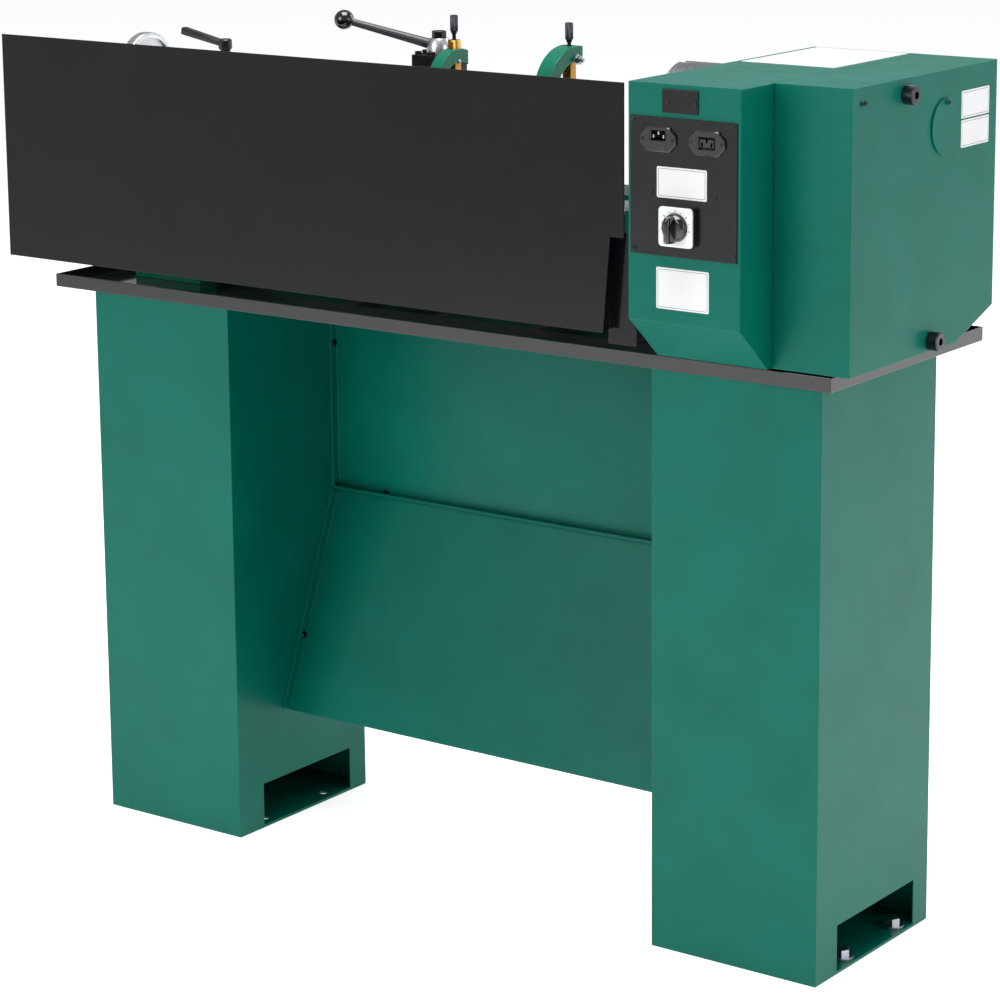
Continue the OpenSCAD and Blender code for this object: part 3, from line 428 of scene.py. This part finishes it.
def painted(piece, material):
    """Gives a piece one finish."""
    piece.data.materials.clear()
    piece.data.materials.append(material)
    return piece


def copy_of(piece):
    """A copy of a piece with its own mesh."""
    twin = piece.copy()
    twin.data = piece.data.copy()
    bpy.context.scene.collection.objects.link(twin)
    return twin


def keep(name, parts, body, slot, *stands_for):
    """Joins the parts into one named piece that rides on a body; its finish slot is not used."""
    alone(parts[0])
    for part in parts:
        part.select_set(True)
    if len(parts) > 1:
        bpy.ops.object.join()
    piece = parts[0]
    piece.name = piece.data.name = name
    alone(piece)
    bpy.ops.object.shade_smooth_by_angle(angle=math.radians(32))
    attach(piece, body)
    if stands_for:
        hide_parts(*stands_for)
    return piece


def span(node):
    """A node's lowest and highest corners, in millimetres."""
    low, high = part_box(node)
    return low / MM, high / MM


def hexagon(radius, low, high):
    """A hexagonal bar on Z, to cut a socket with."""
    return turned([(low, radius), (high, radius)], 6)


def button_screw(radius, material, length=6.0):
    """A button-head screw on Z with a hexagon socket."""
    shank = [(-length, radius * 0.5), (0, radius * 0.5), (0, radius)]
    head = [(radius * 0.15, radius), (radius * 0.4, radius * 0.86), (radius * 0.52, radius * 0.6)]
    screw = turned(shank + head, 24)
    return painted(cut(screw, hexagon(radius * 0.42, radius * 0.2, radius)), material)


# ---- end cover: knurled socket-head knobs, small screws and blank labels ----

KNOB_R = 11.5
HINGE_SCREW_YS = (127, 119)
knob_low, knob_high = span("cover_knobs")
cover_x = span("gear_cover")[0].x


def cover_knob(y, z):
    """A knurled knob with a hexagon socket and its threaded shank."""
    steps = [(-20, 3.6), (-19.4, 4), (0, 4), (0, KNOB_R - 1.1), (0.9, KNOB_R)]
    steps += [(13.6, KNOB_R), (15, KNOB_R - 1.3)]
    knob = cut(turned(steps, 96, (0.9, 13.6, 0.945)), hexagon(5.2, 7, 16))
    return painted(put(knob, (cover_x, y, z), OUTWARD), steel_handled)


knobs = [cover_knob(knob_high.y - KNOB_R, knob_high.z - KNOB_R)]
knobs.append(cover_knob(knob_low.y + KNOB_R, knob_low.z + KNOB_R))
keep("cover_socket_knobs", knobs, "cover", "blackened_steel", "cover_knobs")

screw_small = button_screw(3.4, steel_black)
hinge_screws = [put(copy_of(screw_small), (cover_x, y, 1095), OUTWARD) for y in HINGE_SCREW_YS]
keep("cover_hinge_screws", hinge_screws, "cover", "blackened_steel")
disc_low, disc_high = span("bore_disc")
pivot_place = (disc_low.x + 0.2, (disc_low.y + disc_high.y) / 2, 1076)
pivot = put(copy_of(screw_small), pivot_place, OUTWARD)
keep("bore_disc_screw", [pivot], "disc", "blackened_steel")


# Each layer of a label: how much smaller it is, where it ends, and its finish
LABEL_LAYERS = ((0, 0.32, vinyl_white), (4, 0.35, vinyl_line), (5.2, 0.38, vinyl_white))


def label(name, width, height, centre, along, body):
    """A blank vinyl label, 0.3 mm thick, with rounded corners and a thin printed frame."""
    parts = []
    for inset, depth, finish in LABEL_LAYERS:
        sheet = plate(width - inset, height - inset, depth, 2.0 - inset * 0.2, 0.06)
        parts.append(painted(put(sheet, centre, along), finish))
    keep(name, parts, body, "white_plastic")


label("end_cover_label", 71, 34, (cover_x, LABEL_Y, 1067.5), OUTWARD, "cover")
label("end_cover_label_lower", 71, 34, (cover_x, LABEL_Y, 1031.5), OUTWARD, "cover")
box_y = span("electrical_box")[1].y
panel_y = span("switch_panel")[1].y
label("panel_label", 70, 37, (-441, panel_y, 998.5), REARWARD, "stand")
label("box_label", 74, 50, (-441, box_y, 871), REARWARD, "stand")
top_high = span("headstock_cover")[1]
label("cover_top_label", 134, 184, (-439, -108, top_high.z), (0, 0, 1), "stand")

# ---- switch panel: screws, appliance inlet, outlet and cam switch ----

screw_panel = button_screw(2.8, steel_black, 4)
places = [(-372, 1071), (-511, 1071), (-513, 918), (-374, 917), (-397.6, 985), (-486.6, 985.6)]
panel_face = [put(copy_of(screw_panel), (x, panel_y, z), REARWARD) for x, z in places]
panel_face += [put(copy_of(screw_panel), (x, panel_y, 1094), REARWARD) for x in (-420, -459)]
keep("panel_button_screws", panel_face, "stand", "blackened_steel")
box_screw = put(copy_of(screw_small), (-400, top_high.y + 9.5, 779), (0, 0.9, -0.3))
keep("box_lower_screw", [box_screw], "stand", "blackened_steel")
for pattern in (screw_small, screw_panel):
    bpy.data.objects.remove(pattern)

socket_low, socket_high = span("power_sockets")
socket_z = (socket_low.z + socket_high.z) / 2
inlet_x, outlet_x = socket_high.x - 25, socket_low.x + 25


def slot_block(x, z, width, height, low, high, material, edge=0.2):
    """A small block on a socket's face, given by its middle, size and depth range."""
    corners = (x - width / 2, z - height / 2, low), (x + width / 2, z + height / 2, high)
    return painted(block(*corners, edge, 1), material)


def power_socket(centre_x, male):
    """An appliance inlet with three pins and a fuse drawer, or an outlet with three slots."""
    flange = plate(50, 29, 3.4, 9.5, 0.8, 1)
    shell = painted(flange, phenolic_black)
    parts = [painted(block((-20.5, -11.5, -23), (20.5, 11.5, 0), 0.4), nylon_black)]
    if male:
        cut(shell, block((-12.5, -2.6, -1), (12.5, 12, 5), 2.6, 1))
        cut(parts[0], block((-12.5, -2.6, -14), (12.5, 12, 3), 2.6, 1))
        for x, z in ((-7, 3.4), (0, 7.4), (7, 3.4)):
            parts.append(slot_block(x, z, 2, 4.2, -14.2, 1.5, zinc_bright))
        parts.append(slot_block(0, -8.2, 25, 8.6, 2.0, 4.0, nylon_black, 0.5))
        parts.append(slot_block(0, -8.4, 8, 1.0, 3.8, 4.3, phenolic_black, 0.2))
    else:
        cut(shell, block((-14.2, -9.4, -1), (14.2, 9.4, 5), 3.4, 1))
        cut(parts[0], block((-14.2, -9.4, -14), (14.2, 9.4, 3), 3.4, 1))
        core = painted(block((-11.6, -6.8, -14.5), (11.6, 6.8, 2.4), 2.4, 1), nylon_black)
        for x, z in ((-6.6, -1.4), (0, 3.0), (6.6, -1.4)):
            cut(core, block((x - 1.3, z - 2.6, -12), (x + 1.3, z + 2.6, 4), 0.2, 1))
        parts.append(core)
    parts.append(shell)
    for x in (-20.8, 20.8):
        head = turned([(2.4, 2.2), (3.5, 2.2), (3.9, 1.6)], 20)
        parts.append(painted(cut(head, block((-0.3, -2.5, 3.5), (0.3, 2.5, 5), 0.05, 1)), steel_black))
        parts[-1].location.x = x
        settle(parts[-1])
    return [put(part, (centre_x, panel_y, socket_z), REARWARD) for part in parts]


sockets = power_socket(inlet_x, True) + power_socket(outlet_x, False)
keep("appliance_sockets", sockets, "stand", "black_plastic", "power_sockets")

cam_low, cam_high = span("cam_switch_body")
switch_x, switch_z = (cam_low.x + cam_high.x) / 2, (cam_low.z + cam_high.z) / 2


def dial_marks():
    """Plain radial marks round the switch, longer at each quarter turn."""
    marks = []
    for i in range(-4, 5):
        long = 3.2 if i % 2 == 0 else 1.8
        turn = math.radians(90 + 25 * i)
        mark = block((-0.35, 0, 0), (0.35, long, 0.25), 0.08, 1)
        mark.rotation_euler.z = turn - math.pi / 2
        mark.location = (18.4 * math.cos(turn), 18.4 * math.sin(turn), 0)
        marks.append(painted(settle(mark), phenolic_black))
    return marks


def cam_switch():
    """Black housing behind the panel and round the plate, with a white face and its marks."""
    barrel = painted(turned([(-42, 14.6), (-41, 15.5), (0, 15.5)], 48), nylon_black)
    rim = painted(plate(48, 48, 7.6, 5, 0.5), nylon_black)
    face = painted(plate(47.4, 47.4, 2.3, 4.8, 0.7), acetal_white)
    face.location.z = 7.5
    parts = [barrel, rim, settle(face)]
    bore = turned([(-6, 17.2), (12, 17.2)], 48)
    cut(parts[2], bore)
    for mark in dial_marks():
        mark.location.z = 9.7
        parts.append(settle(mark))
    return [put(part, (switch_x, panel_y, switch_z), REARWARD) for part in parts]


keep("cam_switch_plate", cam_switch(), "stand", "white_plastic", "cam_switch_body")


def cam_knob():
    """A round skirt with a bevelled shoulder and a rounded bar handle that points down."""
    steps = [(-12, 4), (-0.4, 4), (-0.4, 16.6), (3.6, 16.6), (5.4, 15.8), (8.6, 13.2), (9.2, 11)]
    skirt = turned(steps, 56)
    bar = block((-5.4, -18.2, 4), (5.4, 14.6, 21), 3.4, 4)
    bpy.ops.object.mode_set(mode="EDIT")
    pick(bar, "VERT", lambda co, normal: co.z > 12)
    bpy.ops.transform.resize(value=(0.72, 0.94, 1), center_override=(0, -2, 0))
    bpy.ops.object.mode_set(mode="OBJECT")
    line = block((-0.6, -15, 20.3), (0.6, -4, 20.95), 0.15, 1)
    parts = [painted(skirt, phenolic_black), painted(bar, phenolic_black), painted(line, acetal_white)]
    return [put(part, (switch_x, panel_y + 10, switch_z), REARWARD) for part in parts]


keep("cam_switch_knob", cam_knob(), "switch", "black_plastic", "switch_knob")

# ---- tool post handle ----

post_low, post_high = span("tool_post")
handle_base = span("tool_post_handle")[0].z
post_x, post_y = (post_low.x + post_high.x) / 2, (post_low.y + post_high.y) / 2


def post_handle():
    """A bright hub with a dark nut on it, a tapered arm and a black ball."""
    hub = turned([(0, 16), (0.8, 17), (10, 17), (15, 15.6), (20.5, 13.2), (21.7, 12.4)], 56)
    nut = turned([(21.5, 9.2), (22, 9.9), (30.6, 9.9), (31.6, 9.0)], 6)
    stud = turned([(31, 5.4), (31.8, 5.2)], 32)
    tilt, turn = math.radians(14.7), math.radians(25)
    along = (math.cos(tilt) * math.cos(turn), math.cos(tilt) * math.sin(turn), math.sin(tilt))
    arm = turned([(11, 6.6), (12, 7.0), (16, 7.0), (40, 6.4), (122, 5.0), (127, 5.0)], 40)
    ball = turned([(-12.8, 5.2)] + dome(0, 13.7, -66, 90, 18), 48)
    ball.location.z = 137
    settle(ball)
    start = Vector((post_x, post_y, handle_base + 10))
    made = [painted(hub, wheel_polished), painted(nut, steel_black), painted(stud, steel_black)]
    made = [put(part, (post_x, post_y, handle_base)) for part in made]
    sloped = [painted(arm, enamel_charcoal), painted(ball, phenolic_black)]
    return made + [put(part, start, along) for part in sloped]


keep("post_clamp_handle", post_handle(), "post_handle", "blackened_steel", "tool_post_handle")

# ---- work rests: brass fingers with knurled screws, and the clamp bolts ----


def finger():
    """A slotted brass finger on Z with a knurled thumb screw."""
    jaw = painted(block((-6.5, -6.5, 14), (6.5, 6.5, 71), 0.7, 2), brass_milled)
    cut(jaw, block((-2.0, -8, 55), (2.0, 8, 66), 1.6, 3))
    neck = turned([(64, 2.6), (78, 2.6), (79, 3.6), (81, 4.2), (82.5, 5.0)], 32)
    head = turned([(82, 4.6), (82.8, 5.4), (102.6, 5.4), (103.9, 4.6)], 48, (82.8, 102.6, 0.92))
    return [jaw, painted(neck, steel_black), painted(head, steel_handled)]


ring_low = span("steady_rest_top")[0]
axis_z = ring_low.z - GAP
finger_set = {
    "follow_finger_top": ("follow_top", 90),
    "follow_finger_rear": ("follow_rear", 0),
    "steady_finger_top": ("steady_f_top", 90),
    "steady_finger_front": ("steady_f_front", 210),
    "steady_finger_rear": ("steady_f_rear", 330),
}
for node_name, (body, degrees) in finger_set.items():
    low, high = span(node_name)
    turn = math.radians(degrees)
    out = (0, math.cos(turn), math.sin(turn))
    middle = ((low.x + high.x) / 2, AXIS_Y, axis_z)
    keep(node_name + "_brass", [put(part, middle, out) for part in finger()], body, "bronze", node_name)


def clamp_bolt(length):
    """A washer, a chamfered hexagon nut and the domed end of its stud, on Z."""
    washer = turned([(0, 6.6), (0.2, 7.0), (1.2, 7.0), (1.4, 6.6)], 32)
    nut = turned([(1.3, 5.4), (1.9, 6.1), (6.3, 6.1), (7.0, 5.3)], 6)
    stud = turned([(-4, 3.0), (length - 1, 3.0), (length, 2.2)], 24)
    return [painted(part, zinc_bright) for part in (washer, nut, stud)]


follow_x = span("follow_rest")[1].x - 18
follow_bolt = [put(part, (follow_x, AXIS_Y, axis_z + 42), OUTWARD) for part in clamp_bolt(11)]
keep("follow_rest_bolt", follow_bolt, "carriage", "ground_steel")
steady_bolt = [put(part, (ring_low.x, AXIS_Y, axis_z + 56), OUTWARD) for part in clamp_bolt(11)]
keep("steady_rest_bolt", steady_bolt, "steady_top", "ground_steel")

# ---- tailstock: handwheel and quill lock ----

screw_x = span("tail_handwheel")[0].x
COLLAR_X = 610.4
WHEEL_X = 664


def rim_wheel(radius, thick, hub, hub_length):
    """A dished handwheel on Z with a rounded rim, a thin web and a raised hub at both sides."""
    inner = radius - 8
    steps = [(0, hub), (5, hub), (5, inner), (1.5, inner + 0.6), (0.3, inner + 2), (0, inner + 3.4)]
    steps += [(0.4, radius - 1.6), (1.8, radius - 0.4), (thick / 2, radius)]
    steps += [(thick - 1.8, radius - 0.4)]
    steps += [(thick - 0.4, radius - 1.6), (thick, inner + 3.4), (thick - 0.3, inner + 2)]
    steps += [(thick - 1.5, inner + 0.6), (thick - 4.5, inner - 0.4), (thick - 4.5, hub + 2)]
    return turned(steps + [(hub_length, hub), (hub_length + 0.8, hub - 1)], 96)


def grip(length, small, large):
    """A turned revolving handle on Z, waisted at its foot and domed at its end."""
    steps = [(0, small + 1.2), (2, small + 1.2), (3, small * 0.8), (length * 0.3, small)]
    steps += [(length * 0.62, large), (length * 0.85, large * 0.96)]
    return turned(steps + dome(length - large * 0.7, large * 0.86, 18, 88, 5), 36)


def collar(radius, length, lines):
    """A graduated collar on Z with fine ribs at its grip end."""
    steps = [(0, radius - 0.5), (0.5, radius), (length * 0.5, radius), (length * 0.5, radius + 1.2)]
    steps += [(length - 0.6, radius + 1.2), (length, radius + 0.6)]
    return turned(steps, lines * 2, (length * 0.5, length - 0.6, 0.95))


def tail_wheel():
    """The quill's handwheel, its collar, its screw and its turned handle."""
    screw = put(turned([(0, 5.4), (0.6, 6), (96, 6)], 32), (screw_x, AXIS_Y, axis_z), TAILWARD)
    dial = put(collar(19, 29, 48), (COLLAR_X, AXIS_Y, axis_z), TAILWARD)
    hub = put(turned([(0, 12), (28, 12)], 40), (WHEEL_X - 25, AXIS_Y, axis_z), TAILWARD)
    wheel = put(rim_wheel(50, 16, 14, 15), (WHEEL_X, AXIS_Y, axis_z), TAILWARD)
    handle = put(grip(36.6, 5, 8), (WHEEL_X + 8, AXIS_Y - 30, axis_z), TAILWARD)
    finishes = (steel_turned, steel_turned, steel_turned, wheel_polished, wheel_polished)
    return [painted(part, finish) for part, finish in zip((screw, dial, hub, wheel, handle), finishes)]


keep("tail_wheel_polished", tail_wheel(), "tail_wheel", "chrome_wheel", "tail_handwheel")

def ratchet_lever():
    """A splined hub with a screw in its top, and a tapered arm with a flattened, rounded end."""
    foot = axis_z + 21.3
    stem = turned([(-6.5, 4), (0.4, 4)], 24)
    hub = turned([(0, 6.0), (0.6, 6.8), (12, 7.2), (13, 9.0), (15, 9.8), (25.6, 9.4), (27.4, 8.0)], 40)
    screw = turned([(27, 4.4), (27.6, 4.4), (28, 3.8)], 24)
    arm = block((5, -5.4, -4.6), (80, 5.4, 4.6), 2.6, 3)
    bpy.ops.object.mode_set(mode="EDIT")
    pick(arm, "VERT", lambda co, normal: co.x > 40)
    bpy.ops.transform.resize(value=(1, 1.2, 1.2), center_override=(40, 0, 0))
    bpy.ops.object.mode_set(mode="OBJECT")
    arm.rotation_euler.y = -math.radians(11)
    arm.location.z = 20
    settle(arm)
    parts = [painted(stem, zinc_bright), painted(hub, nylon_black)]
    parts += [painted(screw, steel_black), painted(arm, nylon_black)]
    return [put(part, (LOCK_X, AXIS_Y, foot)) for part in parts]


keep("quill_ratchet_lever", ratchet_lever(), "quill_lock", "black_plastic", "quill_lever")

# ---- operator's side: crank wheels, top slide wheel and stop button ----


def crank(node_name, radius):
    """A crank wheel towards the operator, with its collar, shaft and handle."""
    low, high = span(node_name)
    reach = 34
    x, z = crank_axes[node_name]
    face = low.y + reach
    shaft = put(turned([(0, 5.4), (0.6, 6), (high.y - face, 6)], 32), (x, face, z), (0, 1, 0))
    dial = put(collar(radius * 0.35, 8, 36), (x, face + 8, z), (0, 1, 0))
    wheel = put(rim_wheel(radius, 8, radius * 0.3, 9), (x, face + 8, z), FORWARD)
    handle = put(grip(reach - 1, 4.5, 7.6), (x + radius * 0.72, face + 0.4, z), FORWARD)
    parts = [painted(shaft, steel_turned), painted(dial, steel_turned)]
    return parts + [painted(wheel, wheel_polished), painted(handle, phenolic_black)]


saddle_low, saddle_high = span("saddle")
car_x = (saddle_low.x + saddle_high.x) / 2
CARRIAGE_R, CROSS_R = 45, 26
PINION_W = 14
carriage_low, carriage_high = span("carriage_handwheel")
cross_low = span("cross_handle")[0]
crank_axes = {
    "carriage_handwheel": (carriage_low.x + CARRIAGE_R, carriage_low.z + CARRIAGE_R),
    "cross_handle": (cross_low.x + CROSS_R, cross_low.z + CROSS_R),
}
keep("cross_feed_wheel", crank("cross_handle", CROSS_R), "cross_wheel", "chrome_wheel", "cross_handle")
parts = crank("carriage_handwheel", CARRIAGE_R)
pinion = copy_of(nodes["carriage_handwheel"])
for key in list(pinion.keys()):
    del pinion[key]
pinion.parent = None
pinion.matrix_world = Matrix.Identity(4)
alone(pinion)
bpy.ops.object.mode_set(mode="EDIT")
bpy.ops.mesh.select_all(action="SELECT")
bpy.ops.mesh.remove_doubles(threshold=0.00001)
root_y = (carriage_high.y - PINION_W) * MM
bpy.ops.mesh.bisect(plane_co=(0, root_y, 0), plane_no=(0, 1, 0), clear_inner=True, use_fill=True)
bpy.ops.object.mode_set(mode="OBJECT")
parts.append(painted(pinion, steel_turned))
keep("carriage_wheel_turned", parts, "carriage_wheel", "chrome_wheel", "carriage_handwheel")

dial_low = span("top_slide_handle")[0]
TOP_R = 21


def top_crank():
    """The top slide's collar, wheel, screw end and handle."""
    middle_z = dial_low.z + TOP_R
    end_x = car_x + 62 + GAP
    screw = turned([(0, 4.4), (0.6, 5), (42, 5)], 28)
    put(screw, (dial_low.x, post_y, middle_z), TAILWARD)
    dial = put(collar(13, 14, 40), (end_x, post_y, middle_z), TAILWARD)
    wheel = put(rim_wheel(TOP_R, 8, 8, 9), (end_x + 14, post_y, middle_z), TAILWARD)
    handle = put(grip(25, 4, 6.2), (car_x + 84, post_y - 15, middle_z), TAILWARD)
    finishes = (steel_turned, steel_turned, wheel_polished, phenolic_black)
    return [painted(part, finish) for part, finish in zip((screw, dial, wheel, handle), finishes)]


keep("top_slide_wheel", top_crank(), "top_wheel", "chrome_wheel", "top_slide_handle")

stop_low, stop_high = span("emergency_stop")


def stop_button():
    """A red mushroom button on its black stem."""
    skirt = [(8, 14), (8, 18.6), (9, 19.8), (12, 20)]
    crown = [(15, 18.6), (17, 14.6), (17.9, 8), (18, 0.6)]
    cap = painted(turned(skirt + crown, 64), nylon_red)
    stem = painted(turned([(-20, 7.4), (-19.4, 8), (9, 8)], 40), nylon_black)
    at = ((stop_low.x + stop_high.x) / 2, stop_high.y - 20, (stop_low.z + stop_high.z) / 2)
    return [put(cap, at, FORWARD), put(stem, at, FORWARD)]


keep("stop_mushroom", stop_button(), "stop", "stop_red", "emergency_stop")

# ---- light, floor and camera ----

low, high = cad_box
floor_size = 60.0
bpy.ops.object.select_all(action="DESELECT")
bpy.ops.mesh.primitive_plane_add(size=floor_size, location=(0, 0, low.z - 0.0005))
floor = bpy.context.object
floor.name = "studio_floor"
floor_white = bpy.data.materials.new("studio_floor_white")
floor_white.use_nodes = True
floor_shader = floor_white.node_tree.nodes["Principled BSDF"]
floor_shader.inputs["Base Color"].default_value = linear("#f4f4f4")
floor_shader.inputs["Roughness"].default_value = 0.8
floor_shader.inputs["Specular IOR Level"].default_value = 0.0
floor_shader.inputs["Emission Color"].default_value = linear("#ffffff")
floor_shader.inputs["Emission Strength"].default_value = 0.6
floor.data.materials.append(floor_white)

world = bpy.data.worlds.new("studio")
bpy.context.scene.world = world
world.use_nodes = True
world.node_tree.nodes["Background"].inputs["Color"].default_value = linear("#fbfcff")
seen = add(world.node_tree, "LightPath", {}).outputs["Is Camera Ray"]
glow = {"Value": seen, "To Min": 0.4, "To Max": 1.1}
bright = add(world.node_tree, "MapRange", glow).outputs["Result"]
world.node_tree.links.new(bright, world.node_tree.nodes["Background"].inputs["Strength"])
bpy.context.scene.view_settings.view_transform = "Standard"


def soft_light(name, place, target, size, power):
    """A square soft box that looks at a point."""
    lamp = bpy.data.lights.new(name, "AREA")
    lamp.shape = "SQUARE"
    lamp.size = size
    lamp.energy = power
    made = bpy.data.objects.new(name, lamp)
    bpy.context.scene.collection.objects.link(made)
    made.location = place
    made.rotation_euler = (Vector(target) - Vector(place)).to_track_quat("-Z", "Y").to_euler()


soft_light("rear_key", (1.2, 4.0, 2.4), (0, 0, 0.7), 2.4, 88)
soft_light("overhead", (-0.2, 0.2, 4.4), (0, 0, 0.8), 2.6, 210)
soft_light("front_fill", (-1.6, -4.0, 2.4), (0, 0, 0.7), 2.6, 58)
soft_light("end_fill", (-4.4, -0.4, 1.6), (0, 0, 0.7), 2.0, 40)

camera = bpy.data.objects.new("camera", bpy.data.cameras.new("camera"))
bpy.context.scene.collection.objects.link(camera)
bpy.context.scene.camera = camera
right = Vector((-0.80673, -0.59085, -0.00879))
up = Vector((0.11235, -0.16796, 0.97937))
back = Vector((-0.58014, 0.7891, 0.20188))
camera.matrix_world = Matrix(
    [
        (right.x, up.x, back.x, -2.5199),
        (right.y, up.y, back.y, 3.4141),
        (right.z, up.z, back.z, 1.5850),
        (0, 0, 0, 1),
    ]
)
camera.data.sensor_width = 36
camera.data.lens = 117.77
camera.data.shift_y = -0.15
camera.data.clip_start = 0.1
camera.data.clip_end = 60
